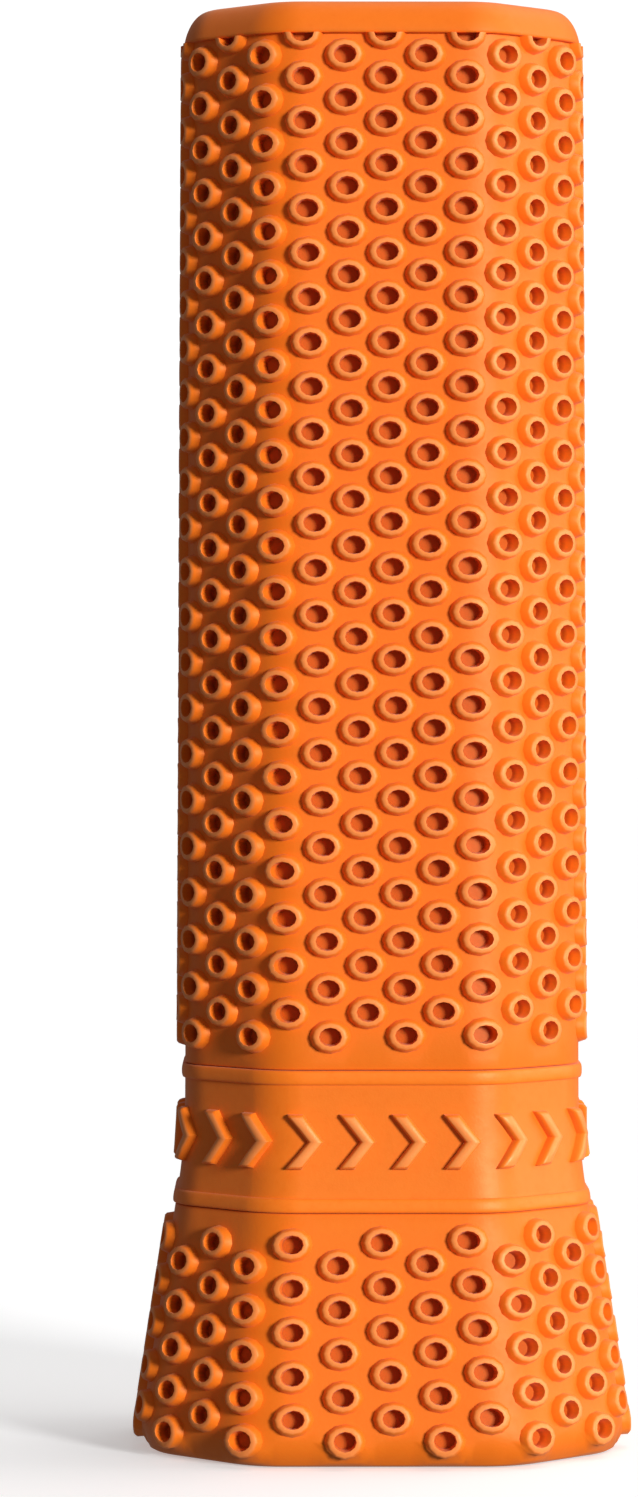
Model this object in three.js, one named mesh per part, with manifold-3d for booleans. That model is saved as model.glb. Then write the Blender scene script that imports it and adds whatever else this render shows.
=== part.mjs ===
// Slide-on handle grip: an elastomer sleeve with an octagonal bore, and a ribbed band seated at its waist.
// The sleeve is open at both ends. Its barrel covers the handle, its flared skirt covers the butt, and a lip
// inside the foot hooks under the butt. The band is a separate ring in a groove between barrel and skirt.
// Millimetres, +Z up along the handle, X across the wide faces. The origin is the middle of the foot.
import * as THREE from "three";
import { mergeVertices } from "three/addons/utils/BufferGeometryUtils.js";
import Module from "manifold-3d";

const wasm = await Module();
wasm.setup();

// ---- Driving dimensions ----
const HEIGHT = 126;
// The octagonal section of the barrel's skin, below its nubs.
const BARREL_WIDTH = 34.6;
const BARREL_DEPTH = 29.2;
const CHAMFER = 7.7; // leg of the corner cut, along either face
const CORNER_RADIUS = 6.2; // rounding of the eight edges
const BARREL_TAPER = 0.45; // how far the skin draws in from the waist to the mouth, on each side
const WALL = 2.4; // skin to bore
const NUB_HEIGHT = 0.8; // how far the nubs stand above the skin
// The skirt: its skin leaves the barrel's line at FLARE_TOP. At the foot it stands out by FLARE on the two
// sides, and by the same proportion on the other faces.
const FLARE_TOP = 31;
const FLARE = 3.8;
const FLARE_BLEND = 8; // height over which the skin turns from the barrel into the skirt
const FOOT_RADIUS = 2.5; // rounding of the outer edge of the foot
const LIP_THICKNESS = 2;
const SEAT_DEPTH = 1; // height of the wall round the seat that the lip makes, before the pocket tapers
const SEAT_DRAFT = 0.15; // how far that wall leans out over its height, which eases the butt in
// The rounding of the outer edge of the mouth is a quarter ellipse.
const RIM_INSET = 2.4; // how far it reaches in, across the wall
const RIM_DROP = 3.2; // how far it reaches down the barrel
// The band, and the plain skin between it and the nubbed fields.
const BAND_BOTTOM = 21.7;
const BAND_HEIGHT = 12.2;
const PLAIN_BELOW = 1.2;
const PLAIN_ABOVE = 1.8;
const BAND_THICKNESS = 0.6;
const BEAD_WIDTH = 1.25; // each raised edge of the band, along the handle
const BEAD_RISE = 0.3;
const SEAT_GAP = 0.3; // clearance between the band and its groove, all round
// The raised chevrons on the band.
const CHEVRON_COUNT = 24;
const CHEVRON_HEIGHT = 4.6;
const CHEVRON_STROKE = 1.3;
const CHEVRON_POINT = 1.8; // how far the point stands ahead of the two tails
const CHEVRON_RISE = 0.8;
const CHEVRON_ROOT = 0.3; // depth that each chevron is sunk into the band

const BAND_TOP = BAND_BOTTOM + BAND_HEIGHT;
const SKIRT_NUBS_TOP = BAND_BOTTOM - PLAIN_BELOW;
const BARREL_NUBS_BOTTOM = BAND_TOP + PLAIN_ABOVE;

// ---- Resolution ----
const ARC_STEPS = 3; // the eight rounded edges are drawn with twice this many segments
const ROUND_STEPS = 5; // segments of each quarter round in the outline
const SKIRT_STEPS = 6; // levels along the skirt, the groove and the band

const ELASTOMER = { color: 0xf26a1b, roughness: 0.62, metalness: 0 };

// ---- Section ----
// The barrel's octagon, scaled, then moved out by a true offset. Both keep the eight directions of its faces.
function section(scale, offset) {
  const x = scale * (BARREL_WIDTH / 2 - CORNER_RADIUS);
  const y = scale * (BARREL_DEPTH / 2 - CORNER_RADIUS);
  const cut = scale * (CHAMFER - CORNER_RADIUS * (2 - Math.SQRT2));
  const radius = scale * CORNER_RADIUS + offset;
  const shape = new THREE.Shape();
  for (let k = 0; k < 8; k++) {
    const middle = ((k + 0.5) * Math.PI) / 4;
    const nearX = Math.abs(Math.cos(middle)) > Math.abs(Math.sin(middle));
    const centreX = Math.sign(Math.cos(middle)) * (nearX ? x : x - cut);
    const centreY = Math.sign(Math.sin(middle)) * (nearX ? y - cut : y);
    shape.absarc(centreX, centreY, radius, (k * Math.PI) / 4, ((k + 1) * Math.PI) / 4, false);
  }
  shape.closePath();
  return shape;
}

// Scale of the section at height z: 1 over the barrel, growing down the skirt to the rounding of the foot.
function flareScale(z) {
  const slope = FLARE / (FLARE_TOP - FOOT_RADIUS - FLARE_BLEND / 2);
  const below = FLARE_TOP - Math.max(z, FOOT_RADIUS);
  if (below <= 0) return 1;
  const blended = (slope * below * below) / (2 * FLARE_BLEND);
  const straight = slope * (below - FLARE_BLEND / 2);
  return 1 + (below < FLARE_BLEND ? blended : straight) / (BARREL_WIDTH / 2);
}

// Offset of the skin at height z: the barrel draws in towards the mouth.
function skin(z) {
  return (-BARREL_TAPER * Math.max(z - FLARE_TOP, 0)) / (HEIGHT - FLARE_TOP);
}

// Heights from low to high in equal steps, both ends included.
function heights(low, high, steps) {
  return Array.from({ length: steps + 1 }, (_, i) => low + ((high - low) * i) / steps);
}

// ---- Solids ----
function solid(geometry) {
  const bare = geometry.clone();
  bare.deleteAttribute("normal");
  bare.deleteAttribute("uv");
  const merged = mergeVertices(bare.index ? bare.toNonIndexed() : bare, 1e-4);
  return new wasm.Manifold(
    new wasm.Mesh({
      numProp: 3,
      vertProperties: merged.attributes.position.array,
      triVerts: new Uint32Array(merged.index.array),
    }),
  );
}

// A solid whose section changes with height. Each level is [z, offset of the section, scale of the section],
// and a level without a scale takes the flare's.
function stack(levels) {
  const steps = levels.length - 1;
  const geometry = new THREE.ExtrudeGeometry(section(1, 0), {
    depth: steps,
    steps,
    bevelEnabled: false,
    curveSegments: ARC_STEPS,
  });
  const start = section(1, 0).extractPoints(ARC_STEPS).shape;
  const ring = ([z, offset, scale = flareScale(z)]) => section(scale, offset).extractPoints(ARC_STEPS).shape;
  const rings = levels.map(ring);
  const position = geometry.attributes.position;
  for (let i = 0; i < position.count; i++) {
    const here = new THREE.Vector2(position.getX(i), position.getY(i));
    const corner = start.findIndex((p) => p.distanceTo(here) < 1e-4);
    const level = Math.round(position.getZ(i));
    const point = rings[level][corner];
    position.setXYZ(i, point.x, point.y, levels[level][0]);
  }
  return solid(geometry);
}

function mesh(name, body) {
  const { vertProperties, triVerts } = body.getMesh();
  const geometry = new THREE.BufferGeometry();
  geometry.setAttribute("position", new THREE.BufferAttribute(vertProperties, 3));
  geometry.setIndex(new THREE.BufferAttribute(triVerts, 1));
  geometry.computeVertexNormals();
  const made = new THREE.Mesh(geometry, new THREE.MeshStandardMaterial(ELASTOMER));
  made.name = name;
  return made;
}

// ---- Sleeve ----
// The outside follows the tips of the nubs where the surface is nubbed, and the skin elsewhere.
function sleeveOutside() {
  const tip = (z) => skin(z) + NUB_HEIGHT;
  const foot = [];
  for (let i = 0; i <= ROUND_STEPS; i++) {
    const turn = (i * Math.PI) / 2 / ROUND_STEPS;
    foot.push([FOOT_RADIUS * (1 - Math.cos(turn)), tip(FOOT_RADIUS) - FOOT_RADIUS * (1 - Math.sin(turn))]);
  }
  const skirt = heights(FOOT_RADIUS, SKIRT_NUBS_TOP, SKIRT_STEPS).slice(1).map((z) => [z, tip(z)]);
  const grooveBottom = BAND_BOTTOM - SEAT_GAP;
  const grooveTop = BAND_TOP + SEAT_GAP;
  const groove = heights(grooveBottom, grooveTop, SKIRT_STEPS);
  const rim = [];
  for (let i = 0; i <= ROUND_STEPS; i++) {
    const turn = (i * Math.PI) / 2 / ROUND_STEPS;
    const z = HEIGHT - RIM_DROP * (1 - Math.sin(turn));
    rim.push([z, tip(HEIGHT - RIM_DROP) - RIM_INSET * (1 - Math.cos(turn))]);
  }
  return [
    ...foot,
    ...skirt,
    [SKIRT_NUBS_TOP, skin(SKIRT_NUBS_TOP)],
    [grooveBottom, skin(grooveBottom)],
    ...groove.map((z) => [z, skin(z) - BAND_THICKNESS - SEAT_GAP]),
    [grooveTop, skin(grooveTop)],
    [BARREL_NUBS_BOTTOM, skin(BARREL_NUBS_BOTTOM)],
    [BARREL_NUBS_BOTTOM, tip(BARREL_NUBS_BOTTOM)],
    ...rim,
  ];
}

// The bore is straight from the mouth to the skirt. Below that a pocket takes the butt, above the lip.
function sleeveInside() {
  const past = 1; // how far the cut runs past either end
  const seatTop = LIP_THICKNESS + SEAT_DEPTH;
  return [
    [-past, -WALL, 1],
    [LIP_THICKNESS, -WALL, 1],
    [LIP_THICKNESS, -WALL - SEAT_DRAFT, flareScale(seatTop)],
    ...heights(seatTop, FLARE_TOP, SKIRT_STEPS).map((z) => [z, -WALL]),
    [HEIGHT + past, -WALL, 1],
  ];
}

function gripSleeve() {
  return mesh("grip_sleeve", stack(sleeveOutside()).subtract(stack(sleeveInside())));
}

// ---- Band ----
// A chevron drawn flat, along the band and up it, then bent round the section.
function chevron(place) {
  const back = -(CHEVRON_POINT + CHEVRON_STROKE) / 2;
  const half = CHEVRON_HEIGHT / 2;
  const flat = new THREE.Shape();
  flat.moveTo(back, -half);
  flat.lineTo(back + CHEVRON_STROKE, -half);
  flat.lineTo(back + CHEVRON_STROKE + CHEVRON_POINT, 0);
  flat.lineTo(back + CHEVRON_STROKE, half);
  flat.lineTo(back, half);
  flat.lineTo(back + CHEVRON_POINT, 0);
  flat.closePath();
  const geometry = new THREE.ExtrudeGeometry(flat, { depth: 1, steps: 1, bevelEnabled: false });
  const outline = section(1, 0);
  const length = outline.getLength();
  const position = geometry.attributes.position;
  for (let i = 0; i < position.count; i++) {
    const along = (place * length + position.getX(i) + length) % length;
    const z = (BAND_BOTTOM + BAND_TOP) / 2 + position.getY(i);
    const point = outline.getPoint(along / length);
    const tangent = outline.getTangent(along / length);
    const scale = flareScale(z);
    const out = skin(z) + (position.getZ(i) > 0.5 ? CHEVRON_RISE : -CHEVRON_ROOT);
    position.setXYZ(i, scale * point.x + tangent.y * out, scale * point.y - tangent.x * out, z);
  }
  return solid(geometry);
}

function waistBand() {
  const beadTop = BAND_BOTTOM + BEAD_WIDTH;
  const beadBottom = BAND_TOP - BEAD_WIDTH;
  const outside = [
    [BAND_BOTTOM, skin(BAND_BOTTOM) + BEAD_RISE],
    [beadTop, skin(beadTop) + BEAD_RISE],
    ...heights(beadTop, beadBottom, SKIRT_STEPS).map((z) => [z, skin(z)]),
    [beadBottom, skin(beadBottom) + BEAD_RISE],
    [BAND_TOP, skin(BAND_TOP) + BEAD_RISE],
  ];
  const inside = heights(BAND_BOTTOM, BAND_TOP, SKIRT_STEPS).map((z) => [z, skin(z) - BAND_THICKNESS]);
  const past = 1;
  inside.unshift([BAND_BOTTOM - past, inside[0][1]]);
  inside.push([BAND_TOP + past, inside.at(-1)[1]]);
  let band = stack(outside).subtract(stack(inside));
  for (let i = 0; i < CHEVRON_COUNT; i++) band = band.add(chevron((i + 0.5) / CHEVRON_COUNT));
  return mesh("waist_band", band);
}

const grip = new THREE.Group();
grip.add(gripSleeve(), waistBand());
export default grip;
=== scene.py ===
"""Looks of a slide-on racket handle grip: a nubbed elastomer sleeve and the chevron band at its waist.

The sleeve stands on its flared foot, mouth up. Its section is a rounded octagon. Every surface here is placed
by three numbers: the share of the way round that octagon (0 in the middle of the front, growing towards +X),
the height above the foot, and the relief, which is how far out of the octagon's line the point stands.
"""

from __future__ import annotations

import logging
import math
from dataclasses import dataclass
from enum import Enum

import bpy
import numpy as np
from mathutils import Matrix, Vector

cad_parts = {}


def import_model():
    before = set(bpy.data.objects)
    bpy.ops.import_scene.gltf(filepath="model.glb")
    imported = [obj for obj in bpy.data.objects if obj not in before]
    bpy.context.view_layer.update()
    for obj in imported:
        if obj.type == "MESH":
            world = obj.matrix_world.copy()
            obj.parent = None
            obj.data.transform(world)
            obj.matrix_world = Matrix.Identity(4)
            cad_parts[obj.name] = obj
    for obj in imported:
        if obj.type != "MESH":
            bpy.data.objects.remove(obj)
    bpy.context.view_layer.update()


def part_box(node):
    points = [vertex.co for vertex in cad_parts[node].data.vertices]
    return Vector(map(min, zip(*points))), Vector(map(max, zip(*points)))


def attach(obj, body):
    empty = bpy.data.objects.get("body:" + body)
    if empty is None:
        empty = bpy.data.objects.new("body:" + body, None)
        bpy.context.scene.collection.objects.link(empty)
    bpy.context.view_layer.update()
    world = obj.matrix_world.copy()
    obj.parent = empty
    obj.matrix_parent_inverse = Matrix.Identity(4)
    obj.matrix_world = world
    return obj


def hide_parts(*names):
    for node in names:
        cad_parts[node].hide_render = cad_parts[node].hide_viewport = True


LOG = logging.getLogger("grip")
MM = 0.001
SHARP_DEGREES = 62
TIP_ATTRIBUTE = "tip"

Points = np.ndarray
Level = tuple[float, float, float | None]
Colour = tuple[float, float, float]
Source = bpy.types.NodeSocket | float | tuple[float, ...]


# ---------------------------------------------------------------- form


@dataclass(frozen=True)
class Octagon:
    """The rounded octagon that a racket handle has in section, centred on the Z axis.

    The outline is what a circle of the corner radius sweeps when its centre runs through eight stations. On a
    flat the centre moves and the normal stays, and on a corner the centre stays and the normal turns by 45
    degrees, so both are straight-line functions of the distance along the outline.
    """

    half_width: float
    half_depth: float
    chamfer: float
    corner_radius: float

    def _knots(self) -> tuple[np.ndarray, np.ndarray, np.ndarray]:
        """Gives the distances at which flats and corners begin, with the centre and the normal there.

        Returns:
            Distances (18), centres (18, 2) and the normals' angles in radians (18), from the middle of the
            front flat round to it again.
        """
        x = self.half_width - self.corner_radius
        y = self.half_depth - self.corner_radius
        cut = self.chamfer - self.corner_radius * (2 - math.sqrt(2))
        quarter = [(x - cut, -y), (x, -(y - cut)), (x, y - cut), (x - cut, y)]
        stations = np.array(quarter + [(-cx, -cy) for cx, cy in quarter])
        start = np.array([[0.0, -y]])
        centres = np.concatenate([start, np.repeat(stations, 2, axis=0), start])
        angles = -math.pi / 2 + np.repeat(np.arange(9), 2) * math.pi / 4
        moved = np.linalg.norm(np.diff(centres, axis=0), axis=1)
        turned = self.corner_radius * np.diff(angles)
        return np.concatenate([[0.0], np.cumsum(moved + turned)]), centres, angles

    @property
    def length(self) -> float:
        """Distance once round the outline."""
        return float(self._knots()[0][-1])

    def at(self, share: np.ndarray) -> tuple[np.ndarray, np.ndarray]:
        """Gives the outline's points and outward normals.

        Args:
            share: Share of the way round, of any shape. Whole numbers wrap.

        Returns:
            Points and unit normals, each of share's shape with a last axis of 2.
        """
        distances, centres, angles = self._knots()
        along = np.mod(share, 1.0) * distances[-1]
        angle = np.interp(along, distances, angles)
        normal = np.stack([np.cos(angle), np.sin(angle)], axis=-1)
        centre = np.stack([np.interp(along, distances, centres[:, i]) for i in (0, 1)], axis=-1)
        return centre + self.corner_radius * normal, normal


@dataclass(frozen=True)
class Form:
    """The sleeve's outer skin: the octagon, scaled up down the skirt and moved out by a relief.

    Heights are in metres above the foot. The overall sizes come from the frame, and the rest are the sleeve's
    own.
    """

    height: float
    foot_half_width: float
    nub_rise: float = 0.8 * MM
    half_width: float = 17.3 * MM
    half_depth: float = 14.6 * MM
    chamfer: float = 7.7 * MM
    corner_radius: float = 6.2 * MM
    barrel_taper: float = 0.45 * MM
    flare_top: float = 31.0 * MM
    flare_blend: float = 8.0 * MM
    foot_radius: float = 2.5 * MM
    wall: float = 2.4 * MM

    @property
    def octagon(self) -> Octagon:
        """The section of the barrel where it meets the skirt."""
        return Octagon(self.half_width, self.half_depth, self.chamfer, self.corner_radius)

    def scale(self, z: np.ndarray) -> np.ndarray:
        """Gives the octagon's scale: 1 over the barrel, then a parabola, then a straight slope to the foot.

        The parabola is the slope times the depth squared over twice the blend, and the straight is the slope
        times the depth less half the blend.

        Args:
            z: Heights.

        Returns:
            One scale for each height.
        """
        flare = self.foot_half_width - self.nub_rise - self.half_width
        slope = flare / (self.flare_top - self.foot_radius - self.flare_blend / 2)
        below = np.clip(self.flare_top - np.maximum(z, self.foot_radius), 0, None)
        blended = slope * below**2 / (2 * self.flare_blend)
        straight = slope * (below - self.flare_blend / 2)
        return 1 + np.where(below < self.flare_blend, blended, straight) / self.half_width

    def skin(self, z: np.ndarray) -> np.ndarray:
        """Gives the relief of the bare skin: drawn in towards the mouth, and a quarter round at the foot.

        The draw grows evenly with the height above the flare. The round is the radius times one less the root
        of one minus the square of how far down the radius the height is.

        Args:
            z: Heights.

        Returns:
            One relief for each height.
        """
        drawn = self.barrel_taper * np.clip(z - self.flare_top, 0, None) / (self.height - self.flare_top)
        radius = self.foot_radius - self.nub_rise
        down = np.clip(1 - z / radius, 0, 1)
        return -drawn - radius * (1 - np.sqrt(1 - down**2))

    def skin_at(self, z: float) -> float:
        """Gives the relief of the bare skin at one height."""
        return float(self.skin(np.float64(z)))

    def place(
        self, share: np.ndarray, z: np.ndarray, relief: np.ndarray, scale: float | None = None
    ) -> Points:
        """Gives points at a relief out of the scaled octagon: outline times scale, plus normal times relief.

        Args:
            share: Share of the way round.
            z: Height.
            relief: Distance out from the octagon, level.
            scale: The octagon's scale, or None for the skirt's own.

        Returns:
            Points with a last axis of 3.
        """
        share, z, relief = np.broadcast_arrays(share, z, relief)
        outline, normal = self.octagon.at(share)
        size = self.scale(z) if scale is None else np.full(z.shape, scale)
        level = size[..., None] * outline + relief[..., None] * normal
        return np.concatenate([level, z[..., None]], axis=-1)

    def raised(self, share: np.ndarray, z: np.ndarray, rise: float) -> Points:
        """Gives points that stand up from the skin by a rise, square to it.

        The skin's slope is read off two heights a hair apart, and the normal leans by it.

        Args:
            share: Share of the way round at the skin.
            z: Height at the skin.
            rise: Distance out, along the skin's normal.

        Returns:
            Points with a last axis of 3.
        """
        hair = 0.02 * MM
        _, normal = self.octagon.at(share)
        above = self.place(share, z + hair, self.skin(z + hair))
        below = self.place(share, z - hair, self.skin(z - hair))
        change = (above - below)[..., :2]
        slope = np.sum(change * normal, axis=-1) / (2 * hair)
        lean = np.concatenate([normal, -slope[..., None]], axis=-1)
        lean /= np.linalg.norm(lean, axis=-1, keepdims=True)
        return self.place(share, z, self.skin(z)) + rise * lean


# ---------------------------------------------------------------- mesh building


@dataclass(frozen=True)
class Loop:
    """A run of points once round the axis: their numbers in the mesh, and their shares of the way round."""

    numbers: np.ndarray
    share: np.ndarray


class Weave:
    """Collects points and faces for one closed mesh, in loops that run once round the axis.

    Faces between two loops face outwards when the first loop is the lower one on an outer surface.
    """

    def __init__(self) -> None:
        """Starts with nothing in it."""
        self._points: list[Points] = []
        self._tips: list[np.ndarray] = []
        self._faces: list[np.ndarray] = []
        self._count = 0

    def add(self, points: Points, tip: float | np.ndarray = 0.0) -> np.ndarray:
        """Adds points, and gives their numbers in the same shape.

        Args:
            points: Array with a last axis of 3.
            tip: How far up a raised feature each point is: 1 on its tip, 0 on the skin, less in a hole.

        Returns:
            Point numbers, without that last axis.
        """
        flat = points.reshape(-1, 3)
        numbers = np.arange(self._count, self._count + len(flat)).reshape(points.shape[:-1])
        self._points.append(flat)
        self._tips.append(np.broadcast_to(tip, points.shape[:-1]).ravel())
        self._count += len(flat)
        return numbers

    def polygons(self, corners: np.ndarray) -> None:
        """Adds faces with the same number of corners, one row each."""
        self._faces.append(corners)

    def bridge(self, low: np.ndarray, high: np.ndarray) -> None:
        """Joins two loops of equal length with quads, point to point."""
        self.polygons(np.stack([low, np.roll(low, -1), np.roll(high, -1), high], axis=-1))

    @staticmethod
    def _from_share(loop: Loop, start: float) -> tuple[np.ndarray, np.ndarray]:
        """Puts a loop's points in order from a share on.

        Args:
            loop: The loop.
            start: The share at which the order starts.

        Returns:
            Point numbers, and the middle of the edge that each point begins, in turns past the start.
        """
        turn = np.mod(loop.share - start, 1.0)
        order = np.argsort(turn)
        turn = turn[order]
        return loop.numbers[order], (turn + np.append(turn[1:], turn[0] + 1)) / 2

    def stitch(self, low: Loop, high: Loop) -> None:
        """Joins two loops of different lengths with triangles, in order of share.

        Each edge of a loop makes one triangle. Its third corner is the point of the other loop that comes
        last before the edge's own middle, in the merged order of both loops.

        Args:
            low: The lower loop, with its shares rising over at most one turn.
            high: The upper loop, likewise.
        """
        start = min(low.share[0], high.share[0])
        under, under_mid = self._from_share(low, start)
        over, over_mid = self._from_share(high, start)
        above = np.searchsorted(over_mid, under_mid) % len(over)
        below = np.searchsorted(under_mid, over_mid, side="right") % len(under)
        self.polygons(np.stack([under, np.roll(under, -1), over[above]], axis=-1))
        self.polygons(np.stack([under[below], np.roll(over, -1), over], axis=-1))

    def mesh(self, name: str) -> bpy.types.Object:
        """Makes the mesh object, smooth, with its sharp edges marked.

        Args:
            name: The piece's name.

        Returns:
            The object, linked to the scene, at the origin.
        """
        points = np.concatenate(self._points).astype(np.float32)
        sizes = np.concatenate([np.full(len(f), f.shape[1]) for f in self._faces])
        corners = np.concatenate([f.ravel() for f in self._faces]).astype(np.int32)
        starts = np.concatenate([[0], np.cumsum(sizes)[:-1]]).astype(np.int32)
        tips = np.concatenate(self._tips).astype(np.float32)
        data = bpy.data.meshes.new(name)
        data.vertices.add(len(points))
        data.vertices.foreach_set("co", points.ravel())
        data.loops.add(len(corners))
        data.loops.foreach_set("vertex_index", corners)
        data.polygons.add(len(sizes))
        data.polygons.foreach_set("loop_start", starts)
        data.polygons.foreach_set("use_smooth", np.ones(len(sizes), bool))
        data.attributes.new(TIP_ATTRIBUTE, "FLOAT", "POINT").data.foreach_set("value", tips)
        data.update(calc_edges=True)
        data.validate(verbose=False)
        data.set_sharp_from_angle(angle=math.radians(SHARP_DEGREES))
        piece = bpy.data.objects.new(name, data)
        bpy.context.scene.collection.objects.link(piece)
        return piece


# ---------------------------------------------------------------- nubs


@dataclass(frozen=True)
class Nub:
    """One ring-shaped nub: a low oval cup, wider than it is tall, with a rounded lip and a blind hole.

    The profile runs from the foot over shoulder and crown to the lip of the hole, in shares of the nub's half
    sizes and of its rise.
    """

    width: float = 3.62 * MM
    height: float = 2.98 * MM
    rise: float = 0.8 * MM
    profile: tuple[tuple[float, float], ...] = ((1.0, 0.0), (0.86, 0.8), (0.73, 1.0), (0.55, 0.95))
    hole_draft: float = 0.1 * MM
    hole_depth: float = 1.35 * MM

    def rings(self) -> list[tuple[float, float, float]]:
        """Gives the nub's rings, from its foot to the floor of its hole.

        Returns:
            Half width, half height and rise of each ring.
        """
        half_w, half_h = self.width / 2, self.height / 2
        made = [(half_w * size, half_h * size, self.rise * up) for size, up in self.profile]
        lip_w, lip_h, _ = made[-1]
        made.append((lip_w - self.hole_draft, lip_h - self.hole_draft, self.rise - self.hole_depth))
        return made


class TopEdge(Enum):
    """How a field of nubs ends at its top."""

    WHOLE = "whole nubs, in a zigzag"
    CUT = "a straight line through the middle of the first nubs"


@dataclass(frozen=True)
class NubField:
    """A field of nubs all round the sleeve, in columns that are staggered by half a row.

    Rows count downwards from 0. Even columns have a nub at each whole row, and odd columns at each half row.
    Each nub has a six-sided cell of its own, two thirds of a column wide at top and bottom and four thirds
    across the middle, so the cells fit together with no gap.

    Column 0 starts near the middle of the front. The columns drift round as they go down, evenly and with the
    square. They are spread over the front at the top, and from face to face they lie a little unevenly:
    swing has one wave to the turn, skew two and bunching four. The rows tilt up towards +X.
    """

    top: float
    first_pitch: float
    last_pitch: float
    even_rows: int
    odd_rows: int
    start: float
    drift: tuple[float, float]
    spread: float
    tilt: float
    bunching: float
    skew: float
    swing: float
    edge: TopEdge
    columns: int = 32
    fade_rows: float = 2.0

    CELL = 12
    RIM = np.array([(8, 0), (6, 3), (4, 6), (0, 6), (-4, 6), (-6, 3)])
    SPOKES = 12
    RIGHT = 0
    LEFT = 6

    @property
    def rim(self) -> np.ndarray:
        """Corners and edge points of a cell, in twelfths of a column and of a row, from its right corner."""
        return np.concatenate([self.RIM, -self.RIM])

    @property
    def lower(self) -> np.ndarray:
        """The spokes of a cell from its left corner, under it, to its right corner."""
        return np.append(np.arange(self.LEFT, self.SPOKES), self.RIGHT)

    def z_at(self, column: np.ndarray, row: np.ndarray) -> np.ndarray:
        """Gives the height of a place in the pattern.

        The pitch grows evenly from the first row to the last, so the height falls with the row and with its
        square. The tilt is a sine of the turn, and it fades out at the end that runs along a level edge.

        Args:
            column: Column number.
            row: Row number.

        Returns:
            Heights.
        """
        gain = (self.last_pitch - self.first_pitch) / (2 * self.even_rows)
        level = self.top - self.first_pitch * row - gain * row**2
        from_edge = row if self.edge is TopEdge.CUT else self.even_rows - row
        fade = np.clip(from_edge / self.fade_rows, 0, 1)
        return level + self.tilt * fade * np.sin(2 * math.pi * column / self.columns)

    def share_at(self, column: np.ndarray, row: np.ndarray, girth: float) -> np.ndarray:
        """Gives the share of the way round of a place in the pattern.

        It is the column's even place, moved by the drift and by sines and a cosine of the turn.

        Args:
            column: Column number.
            row: Row number.
            girth: Length of the octagon's outline.

        Returns:
            Shares, not wrapped.
        """
        down = np.clip(row / self.even_rows, 0, 1)
        along = self.start + self.drift[0] * down + self.drift[1] * down**2 + column * girth / self.columns
        turn = 2 * math.pi * along / girth
        fading = np.clip(1 - 2 * down, 0, 1) ** 2
        faces = self.skew * np.sin(2 * turn) - self.bunching * np.sin(4 * turn)
        return (along + faces + self.swing * np.cos(turn) + self.spread * fading * np.sin(turn)) / girth

    def add_to(self, weave: Weave, form: Form, nub: Nub) -> tuple[Loop, Loop]:
        """Adds the field to a mesh.

        Args:
            weave: The mesh being made.
            form: The sleeve's form.
            nub: The nub that fills each cell.

        Returns:
            The loops along the bottom and along the top of the field.
        """
        girth = form.octagon.length
        columns, rows = self._centres()
        cut = (rows == 0) & (self.edge is TopEdge.CUT)
        keys = np.stack([columns, rows], axis=-1)[:, None, :] * self.CELL
        cells = np.rint(keys + self.rim[None] * np.array([1, -1])).astype(int)
        cells[..., 0] %= self.CELL * self.columns
        unique, number = np.unique(cells.reshape(-1, 2), axis=0, return_inverse=True)
        column, row = (unique / self.CELL).T
        share = self.share_at(column, row, girth)
        kept = (row >= 0) | (self.edge is TopEdge.WHOLE)
        lattice = np.full(len(unique), -1)
        lattice[kept] = weave.add(form.raised(share[kept], self.z_at(column, row)[kept], 0.0))
        layers = [lattice[number.reshape(len(columns), -1)]]
        layers += self._rings(weave, form, nub, columns, rows, cut)
        for outer, inner in zip(layers[:-1], layers[1:]):
            quads = np.stack([outer, np.roll(outer, -1, axis=1), np.roll(inner, -1, axis=1), inner], axis=-1)
            weave.polygons(quads[~cut].reshape(-1, 4))
            weave.polygons(quads[cut][:, self.lower[:-1]].reshape(-1, 4))
        weave.polygons(layers[-1][~cut])
        bottom = self._edge_loop(lattice, unique, share, lower=True)
        if self.edge is TopEdge.WHOLE:
            return bottom, self._edge_loop(lattice, unique, share, lower=False)
        weave.polygons(layers[-1][cut][:, self.lower])
        return bottom, self._cut_loop(layers, columns, cut, lattice, unique, girth)

    def _centres(self) -> tuple[np.ndarray, np.ndarray]:
        """Gives the place of every nub, row by row, the even columns before the odd ones.

        Returns:
            Columns and rows.
        """
        even = np.meshgrid(np.arange(0.0, self.columns, 2), np.arange(0.0, self.even_rows))
        odd = np.meshgrid(np.arange(1.0, self.columns, 2), np.arange(0.5, self.odd_rows))
        columns, rows = (np.append(a, b) for a, b in zip(even, odd))
        return columns, rows

    def _rings(
        self, weave: Weave, form: Form, nub: Nub, columns: np.ndarray, rows: np.ndarray, cut: np.ndarray
    ) -> list[np.ndarray]:
        """Adds the rings of all nubs, ovals round each centre, in distances along the skin.

        Args:
            weave: The mesh being made.
            form: The sleeve's form.
            nub: The nub.
            columns: Column of each nub.
            rows: Row of each nub.
            cut: Which nubs are cut in half.

        Returns:
            For each ring, point numbers by nub and spoke, with -1 above a cut.
        """
        girth = form.octagon.length
        centre = self.share_at(columns, rows, girth)
        z = self.z_at(columns, rows)
        angle = np.arange(self.SPOKES) * 2 * math.pi / self.SPOKES
        kept = np.ones((len(rows), self.SPOKES), bool)
        kept[cut] = np.isin(np.arange(self.SPOKES), self.lower)
        made = []
        for half_w, half_h, rise in nub.rings():
            share = centre[:, None] + half_w * np.cos(angle) / (girth * form.scale(z)[:, None])
            height = z[:, None] + half_h * np.sin(angle)
            height[cut] = np.minimum(height[cut], z[cut][:, None])
            numbers = np.full(kept.shape, -1)
            numbers[kept] = weave.add(form.raised(share[kept], height[kept], rise), rise / nub.rise)
            made.append(numbers)
        return made

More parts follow.
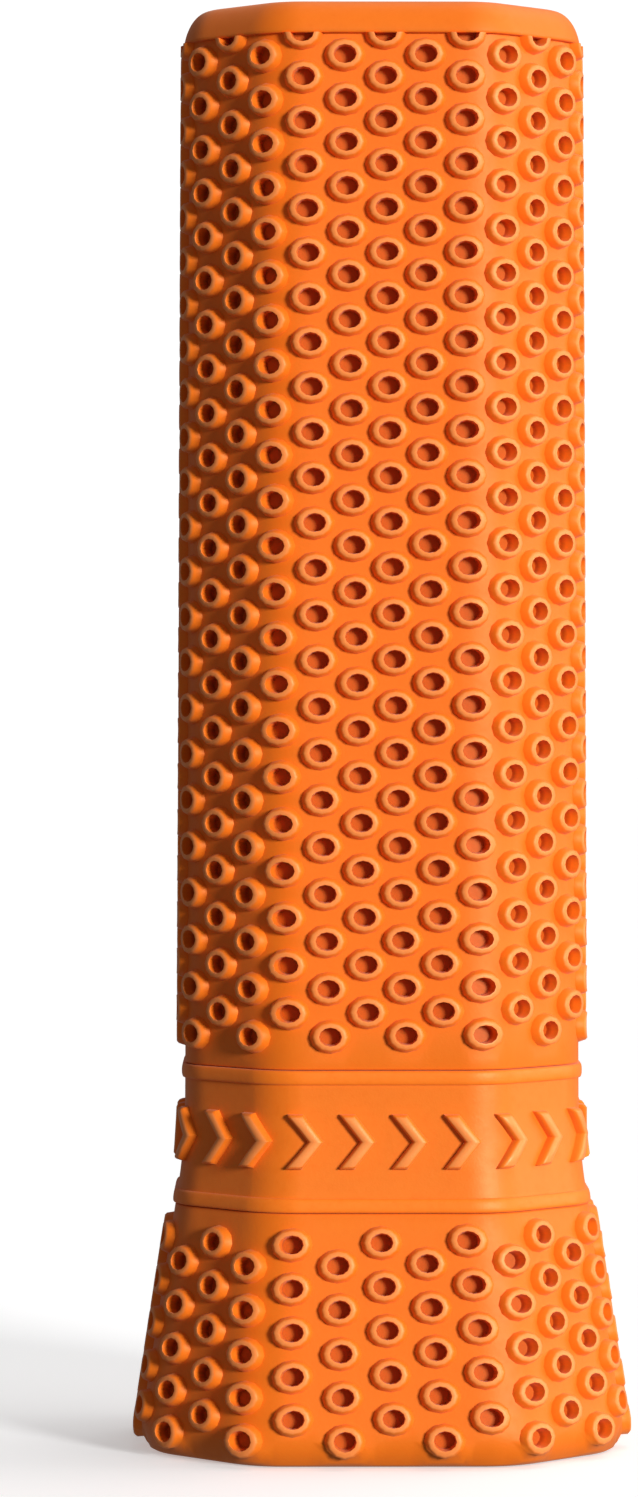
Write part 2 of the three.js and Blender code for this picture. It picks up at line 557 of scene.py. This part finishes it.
    @staticmethod
    def _edge_loop(lattice: np.ndarray, unique: np.ndarray, share: np.ndarray, lower: bool) -> Loop:
        """Gives the zigzag loop along the top or the bottom of the field.

        On the zigzag each place along the columns has one point, the outermost.

        Args:
            lattice: Point number of each lattice point.
            unique: Lattice coordinates.
            share: Share of each.
            lower: True for the bottom loop.

        Returns:
            The loop, in order.
        """
        sign = -1 if lower else 1
        order = np.lexsort((sign * unique[:, 1], unique[:, 0]))
        _, first = np.unique(unique[order, 0], return_index=True)
        chosen = order[first]
        return Loop(lattice[chosen], share[chosen])

    def _cut_loop(
        self,
        layers: list[np.ndarray],
        columns: np.ndarray,
        cut: np.ndarray,
        lattice: np.ndarray,
        unique: np.ndarray,
        girth: float,
    ) -> Loop:
        """Gives the loop along a straight cut: across each cut nub's profile, then along the next cell's top.

        Args:
            layers: Point numbers of every ring, the cell's border first.
            columns: Column of each nub.
            cut: Which nubs are cut in half.
            lattice: Point number of each lattice point.
            unique: Lattice coordinates.
            girth: Length of the octagon's outline.

        Returns:
            The loop, in order.
        """
        order = np.flatnonzero(cut)[np.argsort(columns[cut])]
        left = np.stack([layer[order, self.LEFT] for layer in layers], axis=1)
        right = np.stack([layer[order, self.RIGHT] for layer in layers[::-1]], axis=1)
        level = np.flatnonzero(unique[:, 1] == 0)
        between = ((columns[order].astype(int) + 1) * self.CELL) % (self.CELL * self.columns)
        middle = lattice[level[np.searchsorted(unique[level, 0], between)]]
        loop = np.concatenate([left, right, middle[:, None]], axis=1)
        steps = np.linspace(-self.RIM[0, 0] / self.CELL, 1, loop.shape[1])
        at = columns[order][:, None] + steps[None, :]
        return Loop(loop.ravel(), self.share_at(at, np.zeros(at.shape), girth).ravel())


# ---------------------------------------------------------------- finishes


def feed(tree: bpy.types.NodeTree, socket: bpy.types.NodeSocket, source: Source) -> None:
    """Feeds an input.

    Args:
        tree: The node tree.
        socket: The input.
        source: Another node's output, or a plain value.
    """
    if isinstance(source, bpy.types.NodeSocket):
        tree.links.new(source, socket)
    else:
        socket.default_value = source


def add_math(tree: bpy.types.NodeTree, operation: str, *sources: Source) -> bpy.types.NodeSocket:
    """Adds a math node.

    Args:
        tree: The node tree.
        operation: The node's operation.
        sources: What feeds its inputs, in order.

    Returns:
        The node's output.
    """
    node = tree.nodes.new("ShaderNodeMath")
    node.operation = operation
    for socket, source in zip(node.inputs, sources):
        feed(tree, socket, source)
    return node.outputs[0]


@dataclass(frozen=True)
class Noise:
    """A noise on object coordinates, by its features to the metre and its octaves."""

    scale: float
    detail: float

    def add(self, tree: bpy.types.NodeTree) -> bpy.types.NodeSocket:
        """Adds the noise to a node tree.

        Args:
            tree: The node tree.

        Returns:
            The factor output.
        """
        where = tree.nodes.new("ShaderNodeTexCoord").outputs["Object"]
        node = tree.nodes.new("ShaderNodeTexNoise")
        for label, source in {"Vector": where, "Scale": self.scale, "Detail": self.detail}.items():
            feed(tree, node.inputs[label], source)
        return node.outputs["Fac"]


ETCHING = Noise(5200, 3)
FLOW = Noise(260, 2)
CLOUDS = Noise(55, 4)
SPECKS = Noise(1500, 2)
PATCHES = Noise(75, 3)
SMUDGES = Noise(420, 3)
# Breaks up the painted shade.
HOLE_SHADE_NOISE = Noise(260, 2)
FIBRES = Noise(700, 3)
# The tip band places the painted highlight and the rub, and the hole band places the painted shade.
TIP_BAND = (0.82, 0.96)
HOLE_BAND = (0.1, -0.4)


def group_tree(name: str, inputs: list[str], outputs: list[str]) -> bpy.types.NodeTree:
    """Starts a shader node group with number inputs, which are 1 if nobody sets them, and number outputs.

    Args:
        name: The group's name.
        inputs: Names of its inputs.
        outputs: Names of its outputs.

    Returns:
        The node tree, with its input and output nodes.
    """
    tree = bpy.data.node_groups.new(name, "ShaderNodeTree")
    for label in inputs:
        socket = tree.interface.new_socket(label, in_out="INPUT", socket_type="NodeSocketFloat")
        socket.default_value = 1.0
    for label in outputs:
        tree.interface.new_socket(label, in_out="OUTPUT", socket_type="NodeSocketFloat")
    tree.nodes.new("NodeGroupInput").name = "in"
    tree.nodes.new("NodeGroupOutput").name = "out"
    return tree


def skin_grain_group() -> bpy.types.NodeTree:
    """Builds the group for the fine matt grain that a spark-etched mould leaves, with a faint flow ripple.

    Returns:
        The group. Height is the grain plus the ripple.
    """
    tree = group_tree("skin grain", ["Grain", "Ripple"], ["Height"])
    given, out = tree.nodes["in"], tree.nodes["out"]
    grain = add_math(tree, "MULTIPLY", ETCHING.add(tree), given.outputs["Grain"])
    ripple = add_math(tree, "MULTIPLY", FLOW.add(tree), given.outputs["Ripple"])
    feed(tree, out.inputs["Height"], add_math(tree, "ADD", grain, ripple))
    return tree


def pigment_group() -> bpy.types.NodeTree:
    """Builds the group for uneven pigment: soft clouds, and fine specks that are a little darker.

    The specks are the third power of their noise, which leaves only its peaks.

    Returns:
        The group. Mask is 0 where the pigment is light and 1 where it is deep.
    """
    tree = group_tree("pigment clouds", ["Clouds", "Specks"], ["Mask"])
    given, out = tree.nodes["in"], tree.nodes["out"]
    clouds = add_math(tree, "MULTIPLY", CLOUDS.add(tree), given.outputs["Clouds"])
    peaks = add_math(tree, "POWER", SPECKS.add(tree), 3.0)
    specks = add_math(tree, "MULTIPLY", peaks, given.outputs["Specks"])
    limited = tree.nodes.new("ShaderNodeClamp")
    feed(tree, limited.inputs["Value"], add_math(tree, "ADD", clouds, specks))
    feed(tree, out.inputs["Mask"], limited.outputs[0])
    return tree


def rub_and_painted_light_group() -> bpy.types.NodeTree:
    """Builds the group for the tips and holes: the tips are rubbed smoother and get a painted highlight, and
    the holes get painted shade.

    Each mask is a band of the tip attribute, stretched to run from 0 to 1, times a noise.

    Returns:
        The group. The highlight and rub outputs are above 0 on tips, and the shade output is above 0 down in
        the holes and a little on the bare skin.
    """
    labels = ["Chalk", "Rub", "Grime"]
    tree = group_tree("rub_and_painted_light", labels, labels)
    given, out = tree.nodes["in"], tree.nodes["out"]
    tip = tree.nodes.new("ShaderNodeAttribute")
    tip.attribute_name = TIP_ATTRIBUTE
    patches = add_math(tree, "MULTIPLY_ADD", PATCHES.add(tree), 0.6, 0.55)
    smudges = SMUDGES.add(tree)
    shade_breakup = add_math(tree, "MULTIPLY_ADD", HOLE_SHADE_NOISE.add(tree), 0.5, 0.7)
    bands = [(TIP_BAND, patches), (TIP_BAND, smudges), (HOLE_BAND, shade_breakup)]
    for label, (band, pattern) in zip(labels, bands):
        mask = tree.nodes.new("ShaderNodeMapRange")
        mask.inputs["From Min"].default_value, mask.inputs["From Max"].default_value = band
        feed(tree, mask.inputs["Value"], tip.outputs["Fac"])
        broken = add_math(tree, "MULTIPLY", mask.outputs[0], pattern)
        feed(tree, out.inputs[label], add_math(tree, "MULTIPLY", broken, given.outputs[label]))
    return tree


@dataclass(frozen=True)
class SharedGroups:
    """The node groups that the finishes share."""

    grain: bpy.types.NodeTree
    pigment: bpy.types.NodeTree
    rub_and_painted_light: bpy.types.NodeTree

    @classmethod
    def build(cls) -> SharedGroups:
        """Builds each group once."""
        return cls(skin_grain_group(), pigment_group(), rub_and_painted_light_group())


@dataclass(frozen=True)
class Elastomer:
    """A satin moulded elastomer, dyed through.

    Its colours run from light to deep with the pigment, with a painted highlight on the tips and painted
    shade down in the holes and faintly on the bare skin.
    Deep pigment is rougher, and a rubbed tip is smoother.
    """

    name: str
    light: Colour = (0.95, 0.2, 0.01)
    deep: Colour = (0.9, 0.17, 0.004)
    # Painted highlight: this paler colour is laid over the nub and chevron tops, which stand in the light
    # more than the skin.
    pale: Colour = (0.97, 0.34, 0.11)
    # Painted shade: this dark colour is laid fully over the hole walls and floors and faintly over the bare
    # skin, so lower surfaces are darker.
    painted_shade_colour: Colour = (0.5, 0.08, 0.002)
    sheen_tint: Colour = (1.0, 0.8, 0.65)
    gloss_tint: Colour = (1.0, 0.72, 0.45)
    scatter_reach: Colour = (1.0, 0.25, 0.05)
    scatter_depth: float = 0.6 * MM
    scatter: float = 0.03
    sheen: float = 0.15
    sheen_roughness: float = 0.45
    refraction: float = 1.5
    roughness: float = 0.5
    pigment_roughness: tuple[float, float] = (-0.05, 0.07)
    rub_polish: float = 0.12
    grain_height: float = 0.012 * MM
    ripple: float = 1.0
    clouds: float = 0.8
    specks: float = 0.9
    rub: float = 1.0
    # Strength of the painted highlight on the tips.
    painted_highlight: float = 0.6
    # Strength of the painted shade.
    painted_shade: float = 0.95

    def _group(
        self, tree: bpy.types.NodeTree, shared: bpy.types.NodeTree, **values: float
    ) -> bpy.types.Node:
        """Places a shared group in the material.

        Args:
            tree: The material's node tree.
            shared: The group.
            values: The material's own value for each input, by name.

        Returns:
            The group's node.
        """
        node = tree.nodes.new("ShaderNodeGroup")
        node.node_tree = shared
        for label, value in values.items():
            node.inputs[label].default_value = value
        return node

    def _laid_over(
        self, tree: bpy.types.NodeTree, under: Source, colour: Colour, mask: bpy.types.NodeSocket
    ) -> bpy.types.NodeSocket:
        """Lays a colour over what is under it, as far as a mask says.

        Args:
            tree: The material's node tree.
            under: The colour under it, or the output that gives it.
            colour: The colour.
            mask: The mask's output.

        Returns:
            The mixed colour's output.
        """
        mix = tree.nodes.new("ShaderNodeMix")
        mix.data_type = "RGBA"
        for label, source in {"Factor": mask, "A": under, "B": (*colour, 1)}.items():
            feed(tree, mix.inputs[label], source)
        return mix.outputs["Result"]

    def build(self, groups: SharedGroups) -> bpy.types.Material:
        """Makes the material.

        Args:
            groups: The shared node groups.

        Returns:
            The material.
        """
        material = bpy.data.materials.new(self.name)
        material.use_nodes = True
        tree = material.node_tree
        pigment = self._group(tree, groups.pigment, Clouds=self.clouds, Specks=self.specks).outputs["Mask"]
        rub_and_light = self._group(tree, groups.rub_and_painted_light, Chalk=self.painted_highlight, Rub=self.rub, Grime=self.painted_shade).outputs
        grain = self._group(tree, groups.grain, Grain=1.0, Ripple=self.ripple)
        tint = self._laid_over(tree, (*self.light, 1), self.deep, pigment)
        # Painted highlight: the paler colour laid over the tips.
        paled = self._laid_over(tree, tint, self.pale, rub_and_light["Chalk"])
        least, most = self.pigment_roughness
        rough = add_math(tree, "MULTIPLY_ADD", pigment, most - least, self.roughness + least)
        bump = tree.nodes.new("ShaderNodeBump")
        bump.inputs["Distance"].default_value = self.grain_height
        feed(tree, bump.inputs["Height"], grain.outputs["Height"])
        shader = tree.nodes["Principled BSDF"]
        for label, source in {
            # Painted shade: the dark colour laid over the holes and, faintly, the bare skin.
            "Base Color": self._laid_over(tree, paled, self.painted_shade_colour, rub_and_light["Grime"]),
            "Roughness": add_math(tree, "MULTIPLY_ADD", rub_and_light["Rub"], -self.rub_polish, rough),
            "Normal": bump.outputs["Normal"],
            "Subsurface Weight": self.scatter,
            "Subsurface Radius": self.scatter_reach,
            "Subsurface Scale": self.scatter_depth,
            "Sheen Weight": self.sheen,
            "Sheen Roughness": self.sheen_roughness,
            "Sheen Tint": (*self.sheen_tint, 1),
            "Specular Tint": (*self.gloss_tint, 1),
            "IOR": self.refraction,
        }.items():
            feed(tree, shader.inputs[label], source)
        return material


# ---------------------------------------------------------------- sub-assemblies


def stand_for(piece: bpy.types.Object, node: str, finish: bpy.types.Material) -> None:
    """Gives a piece its finish, and lets it stand for its node of the frame.

    Args:
        piece: The piece.
        node: The frame's node.
        finish: Its material.
    """
    piece.data.materials.append(finish)
    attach(piece, "root")
    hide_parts(node)


@dataclass(frozen=True)
class Seat:
    """The groove between barrel and skirt in which the band sits, as the band's own size says."""

    bottom: float
    top: float
    depth: float = 0.6 * MM
    clearance: float = 0.06 * MM

    @property
    def middle(self) -> float:
        """Height of the groove's middle."""
        return (self.bottom + self.top) / 2


@dataclass(frozen=True)
class Sleeve:
    """The moulded sleeve: nubbed barrel, smooth rim, groove, nubbed skirt, foot, lip and bore.

    The rim cuts the barrel's first nubs in half, and the skirt's are all whole. A level is a loop's height,
    its relief and its scale, with None for the skirt's own scale.
    """

    form: Form
    seat: Seat
    nub: Nub = Nub()
    barrel: NubField = NubField(
        top=123.1 * MM,
        first_pitch=3.714 * MM,
        last_pitch=4.137 * MM,
        even_rows=23,
        odd_rows=22,
        start=-0.24 * MM,
        drift=(0.25 * MM, 1.77 * MM),
        spread=1.28 * MM,
        tilt=0.26 * MM,
        bunching=0.28 * MM,
        skew=0.24 * MM,
        swing=0.37 * MM,
        edge=TopEdge.CUT,
    )
    skirt: NubField = NubField(
        top=19.17 * MM,
        first_pitch=3.72 * MM,
        last_pitch=3.72 * MM,
        even_rows=5,
        odd_rows=5,
        start=-1.74 * MM,
        drift=(1.02 * MM, 0.0),
        spread=0.0,
        tilt=0.5 * MM,
        bunching=0.07 * MM,
        skew=0.5 * MM,
        swing=1.62 * MM,
        edge=TopEdge.WHOLE,
    )
    around: int = 192
    foot_turns: tuple[float, ...] = (0.0, 0.35, 0.62)
    rim_rise: float = 0.56 * MM
    rim_inset: float = 2.35 * MM
    rim_drop: float = 3.8 * MM
    rim_soft: float = 0.1 * MM
    shoulder_start: float = 0.3
    groove_soft: float = 0.12 * MM
    bore_edge: float = 0.25 * MM
    mouth_depth: float = 8.0 * MM
    lip_thickness: float = 2.0 * MM
    seat_height: float = 1.0 * MM
    seat_draft: float = 0.15 * MM

    def _loops(self, weave: Weave, levels: list[Level]) -> tuple[Loop, Loop]:
        """Adds one loop of evenly spaced points for each level, and joins each to the next.

        Args:
            weave: The mesh being made.
            levels: The levels.

        Returns:
            The first and the last loop.
        """
        share = np.arange(self.around) / self.around
        made = [weave.add(self.form.place(share, np.float64(z), np.float64(r), s)) for z, r, s in levels]
        for low, high in zip(made[:-1], made[1:]):
            weave.bridge(low, high)
        return Loop(made[0], share), Loop(made[-1], share)

    def _foot(self) -> list[Level]:
        """Gives the levels of the foot's rounded edge, points of a quarter circle from the floor up.

        Returns:
            The levels.
        """
        radius = self.form.foot_radius - self.form.nub_rise
        return [(radius * (1 - math.cos(t)), -radius * (1 - math.sin(t)), None) for t in self.foot_turns]

    def _groove(self) -> list[Level]:
        """Gives the levels of the band's groove, with softened edges, from the skirt's skin to the barrel's.

        Returns:
            The levels.
        """
        low = self.seat.bottom - self.seat.clearance
        high = self.seat.top + self.seat.clearance
        floor = -(self.seat.depth + self.seat.clearance)
        soft = self.groove_soft
        edge = [(soft, 0.0), (0.3 * soft, -0.3 * soft), (0.0, -soft)]
        levels = [(low - away, relief) for away, relief in edge]
        levels += [(z, floor) for z in np.linspace(low, high, 7)]
        levels += [(high + away, relief) for away, relief in edge[::-1]]
        return [(z, relief + self.form.skin_at(z), None) for z, relief in levels]

    def _rim(self) -> list[Level]:
        """Gives the levels of the rim, from its lower edge over its rounded shoulder to the bore's edge.

        The shoulder is a quarter of an ellipse, as tall as the drop and as wide as the inset. The third level
        stands 0.18 mm above the shoulder's first, so there the skin folds back by that much.

        Returns:
            The levels.
        """
        face = self.form.skin_at(self.form.height) + self.rim_rise
        begin = self.form.height - self.rim_drop
        levels = []
        for steps, undercut in [(0, self.rim_soft), (1, 0.0), (4, 0.0)]:
            z = self.barrel.top + steps * self.rim_soft
            across = 1 - math.sqrt(1 - min(max((z - begin) / self.rim_drop, 0), 1) ** 2)
            levels.append((z, face - self.rim_inset * across - undercut, None))
        for turn in np.linspace(self.shoulder_start, math.pi / 2, 12):
            z = begin + self.rim_drop * math.sin(turn)
            levels.append((z, face - self.rim_inset * (1 - math.cos(turn)), None))
        return levels

    def _inside(self) -> list[Level]:
        """Gives the levels of the bore, the butt's pocket, the seat on the lip and the lip's opening.

        Returns:
            The levels, from the mouth down to the foot.
        """
        wall, edge, top = self.form.wall, self.bore_edge, self.form.height
        seat_top = self.lip_thickness + self.seat_height
        seat_scale = float(self.form.scale(np.float64(seat_top)))
        levels = [(top - edge, -wall, 1.0)]
        levels += [(z, -wall, 1.0) for z in np.linspace(top - self.mouth_depth, self.form.flare_top, 12)]
        levels += [(z, -wall, None) for z in np.linspace(self.form.flare_top, seat_top, 9)[1:]]
        levels += [(self.lip_thickness, -wall - self.seat_draft, seat_scale)]
        levels += [(self.lip_thickness, -wall, 1.0), (edge, -wall, 1.0), (0.0, -wall + edge, 1.0)]
        return levels

    def build(self) -> bpy.types.Object:
        """Builds the sleeve as one closed mesh.

        Returns:
            The sleeve's object.
        """
        weave = Weave()
        foot = self._loops(weave, self._foot())
        skirt = self.skirt.add_to(weave, self.form, self.nub)
        groove = self._loops(weave, self._groove())
        barrel = self.barrel.add_to(weave, self.form, self.nub)
        rim = self._loops(weave, self._rim())
        inside = self._loops(weave, self._inside())
        outer = [foot, skirt, groove, barrel, rim]
        for (_, below), (above, _) in zip(outer[:-1], outer[1:]):
            weave.stitch(below, above)
        weave.bridge(rim[1].numbers, inside[0].numbers)
        weave.bridge(inside[1].numbers, foot[0].numbers)
        return weave.mesh("sleeve")

    def dress(self, piece: bpy.types.Object, groups: SharedGroups) -> None:
        """Gives the sleeve its finish and its place in the frame."""
        stand_for(piece, "grip_sleeve", Elastomer("sleeve elastomer").build(groups))


@dataclass(frozen=True)
class WaistBand:
    """The smooth ring at the waist: a bead along each edge, and raised chevrons between them.

    The edges of a chevron are rounded over the soft width, and its grid reaches past them by the margin.
    """

    form: Form
    seat: Seat
    bead_width: float = 1.25 * MM
    bead_rise: float = 0.3 * MM
    bead_fullness: float = 0.45
    bead_rub: float = 0.6
    count: int = 24
    chevron_height: float = 4.6 * MM
    stroke: float = 1.3 * MM
    point: float = 1.8 * MM
    rise: float = 0.8 * MM
    soft: float = 0.34 * MM
    margin: float = 0.06 * MM

    def _edge(self, half: float) -> np.ndarray:
        """Gives the distances of the grid lines over a rounded edge, close together where it is steep."""
        return half + self.margin - self.soft * np.array([0, 0.12, 0.4, 1])

    def _columns(self, girth: float) -> tuple[np.ndarray, np.ndarray]:
        """Gives the places of the grid's columns along the band, and how far each is from its chevron's line.

        Args:
            girth: Length of the octagon's outline.

        Returns:
            Places and distances, chevron by chevron.
        """
        side = self._edge(self.stroke / 2)
        pitch = girth / self.count
        gap = np.linspace(side[0], pitch - side[0], 7)[1:-1]
        offsets = np.concatenate([-side, [0.0], side[::-1], gap])
        centres = (np.arange(self.count) + 0.5) * pitch - self.point / 2
        places = centres[:, None] + offsets[None, :]
        return places.ravel(), np.tile(np.abs(offsets), self.count)

    def _rows(self) -> tuple[np.ndarray, np.ndarray]:
        """Gives the heights of the band's outer rows, and the relief of each without its chevrons.

        A bead's relief is its rise times a power of the sine over half a turn, which makes it full.

        Returns:
            Heights and reliefs, from the bottom up.
        """
        turn = np.linspace(0, math.pi, 9)
        bead = self.bead_rise * np.sin(turn) ** self.bead_fullness
        low = self.seat.bottom + self.bead_width / 2 * (1 - np.cos(turn))
        high = self.seat.top + self.seat.bottom - low[::-1]
        half = self.chevron_height / 2
        side = self._edge(half)
        ups = np.concatenate([side, [(half + self.margin) / 2, 0.02 * MM]])
        plain = np.linspace(self.seat.middle + side[0], self.seat.top - self.bead_width, 4)[1:-1]
        ups = np.concatenate([plain[::-1] - self.seat.middle, ups])
        rows = np.concatenate([self.seat.middle - ups, [self.seat.middle], (self.seat.middle + ups)[::-1]])
        return np.concatenate([low, rows, high]), np.concatenate([bead, np.zeros(len(rows)), bead[::-1]])

    def _round(self, distance: np.ndarray, half: float) -> np.ndarray:
        """Gives a chevron's rounded edge: a quarter round over the soft width, 1 inside it, 0 outside it."""
        into = np.clip((half + self.margin - distance) / self.soft, 0, 1)
        return np.sqrt(1 - (1 - into) ** 2)

    def build(self) -> bpy.types.Object:
        """Builds the band as one closed mesh.

        The grid leans with the arms of the chevrons, by up to the point's length at half height, so that the
        chevrons' edges lie on grid lines. A chevron's height is the lesser of its two rounded edges.

        Returns:
            The band's object.
        """
        weave = Weave()
        girth = self.form.octagon.length
        half = self.chevron_height / 2
        places, near = self._columns(girth)
        z, relief = self._rows()
        off = np.abs(z - self.seat.middle)
        lean = self.point * np.clip(1 - off / half, 0, 1)
        share = (places[None, :] + lean[:, None]) / girth
        height = np.minimum(self._round(near, self.stroke / 2)[None, :], self._round(off, half)[:, None])
        skin = self.form.skin(z)[:, None] + relief[:, None]
        # Tip share: the chevron tops get the painted highlight and the rub, and the beads neither.
        tip = np.maximum(height, self.bead_rub * (relief / self.bead_rise)[:, None])
        outer = weave.add(self.form.place(share, z[:, None], skin + self.rise * height), tip)
        back_z = np.linspace(self.seat.top, self.seat.bottom, 7)[:, None]
        back = self.form.skin(back_z) - self.seat.depth
        inner = weave.add(self.form.place((places / girth)[None, :], back_z, back))
        loops = np.concatenate([outer, inner])
        for low, high in zip(loops, np.roll(loops, -1, axis=0)):
            weave.bridge(low, high)
        return weave.mesh("waist_band_ring")

    def dress(self, piece: bpy.types.Object, groups: SharedGroups) -> None:
        """Gives the band its finish, a little lighter and smoother than the sleeve's, and its place."""
        finish = Elastomer("band elastomer", light=(0.98, 0.225, 0.018), ripple=0.5, roughness=0.46)
        stand_for(piece, "waist_band", finish.build(groups))


# ---------------------------------------------------------------- setting


@dataclass(frozen=True)
class Lamp:
    """A distant lamp, at an azimuth from the front towards +X and an elevation, in degrees.

    Its strength is the brightness that it gives to a white sheet facing it, and its softness is the angle in
    degrees that it fills in the sky.
    """

    name: str
    azimuth: float
    elevation: float
    strength: float
    softness: float

    def hang(self) -> None:
        """Hangs the lamp, aimed at the origin."""
        lamp = bpy.data.lights.new(self.name, "SUN")
        lamp.energy = self.strength * math.pi
        lamp.angle = math.radians(self.softness)
        holder = bpy.data.objects.new(self.name, lamp)
        bpy.context.scene.collection.objects.link(holder)
        turn, up = math.radians(self.azimuth), math.radians(self.elevation)
        source = Vector((math.sin(turn) * math.cos(up), -math.cos(turn) * math.cos(up), math.sin(up)))
        holder.location = source
        holder.rotation_euler = (-source).to_track_quat("-Z", "Y").to_euler()


@dataclass(frozen=True)
class Studio:
    """A pale floor, a soft key light from the right, weak fill, and the camera."""

    distance: float = 480 * MM
    eye_height: float = 68.5 * MM
    turn_degrees: float = -1.0
    aim_side: float = -5.5 * MM
    aim_height: float = 61.42 * MM
    lens: float = 130.2
    sight: float = 20.0
    fill: float = 0.16
    backdrop: float = 1.05
    floor_size: float = 6.0
    floor_drop: float = 0.02 * MM
    floor_glow: float = 0.38
    lamps: tuple[Lamp, ...] = (
        Lamp("key", 36.0, 11.0, 1.15, 14.0),
        Lamp("side", 93.0, 8.0, 0.36, 34.0),
        Lamp("top", 115.0, 58.0, 0.36, 60.0),
    )

    def _paper(self) -> bpy.types.Material:
        """Makes the floor's paper: pale, matt, with faint fibres, and glowing a little.

        Returns:
            The material.
        """
        paper = bpy.data.materials.new("floor paper")
        paper.use_nodes = True
        tree = paper.node_tree
        tone = tree.nodes.new("ShaderNodeCombineColor")
        fibre = add_math(tree, "MULTIPLY_ADD", FIBRES.add(tree), 0.02, 0.86)
        for socket in tone.inputs[:3]:
            feed(tree, socket, fibre)
        for label, source in {
            "Base Color": tone.outputs[0],
            "Roughness": 0.9,
            "Specular IOR Level": 0.0,
            "Emission Color": (1, 1, 1, 1),
            "Emission Strength": self.floor_glow,
        }.items():
            feed(tree, tree.nodes["Principled BSDF"].inputs[label], source)
        return paper

    def floor(self) -> bpy.types.Object:
        """Lays the floor, a wide plain sheet just under the foot, which casts no colour on the object.

        Returns:
            The floor's object.
        """
        bpy.ops.mesh.primitive_plane_add(size=self.floor_size, location=(0, 0, -self.floor_drop))
        sheet = bpy.context.object
        sheet.name = "floor"
        sheet.data.materials.append(self._paper())
        sheet.visible_diffuse = False
        sheet.visible_glossy = False
        return sheet

    def light(self) -> None:
        """Hangs the lamps and sets the surroundings, which are brighter to the camera than to the object."""
        for lamp in self.lamps:
            lamp.hang()
        world = bpy.data.worlds.new("surroundings")
        world.use_nodes = True
        bpy.context.scene.world = world
        tree = world.node_tree
        background = tree.nodes["Background"]
        seen = tree.nodes.new("ShaderNodeLightPath").outputs["Is Camera Ray"]
        strength = add_math(tree, "MULTIPLY_ADD", seen, self.backdrop - self.fill, self.fill)
        feed(tree, background.inputs["Color"], (1, 1, 1, 1))
        feed(tree, background.inputs["Strength"], strength)

    def camera(self) -> None:
        """Places the camera, level and upright, by turning it round the object and then aiming it."""
        turn = math.radians(self.turn_degrees)
        right = Vector((math.cos(turn), math.sin(turn), 0))
        back = Vector((math.sin(turn), -math.cos(turn), 0))
        place = back * self.distance + Vector((0, 0, self.eye_height))
        aim = right * self.aim_side + Vector((0, 0, self.aim_height))
        data = bpy.data.cameras.new("camera")
        data.lens = self.lens
        data.clip_end = self.sight
        holder = bpy.data.objects.new("camera", data)
        bpy.context.scene.collection.objects.link(holder)
        holder.location = place
        holder.rotation_euler = (aim - place).to_track_quat("-Z", "Y").to_euler()
        bpy.context.scene.camera = holder

    def build(self) -> None:
        """Sets the floor, the light, the colour handling and the camera."""
        self.floor()
        self.light()
        self.camera()
        bpy.context.scene.view_settings.view_transform = "Standard"


def corners(box: tuple[Vector, Vector]) -> list[list[float]]:
    """Gives a box as plain lists of numbers."""
    return [[float(v) for v in corner] for corner in box]


def main() -> None:
    """Builds the sleeve, the band and the setting, in that order."""
    logging.basicConfig(level=logging.INFO, format="%(message)s")
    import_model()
    _, sleeve_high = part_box("grip_sleeve")
    band_low, band_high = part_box("waist_band")
    form = Form(height=sleeve_high.z, foot_half_width=sleeve_high.x)
    seat = Seat(bottom=band_low.z, top=band_high.z)
    groups = SharedGroups.build()
    for assembly in (Sleeve(form, seat), WaistBand(form, seat)):
        piece = assembly.build()
        assembly.dress(piece, groups)
        LOG.info("%s: %d faces", piece.name, len(piece.data.polygons))
    Studio().build()


if __name__ == "__main__":
    main()
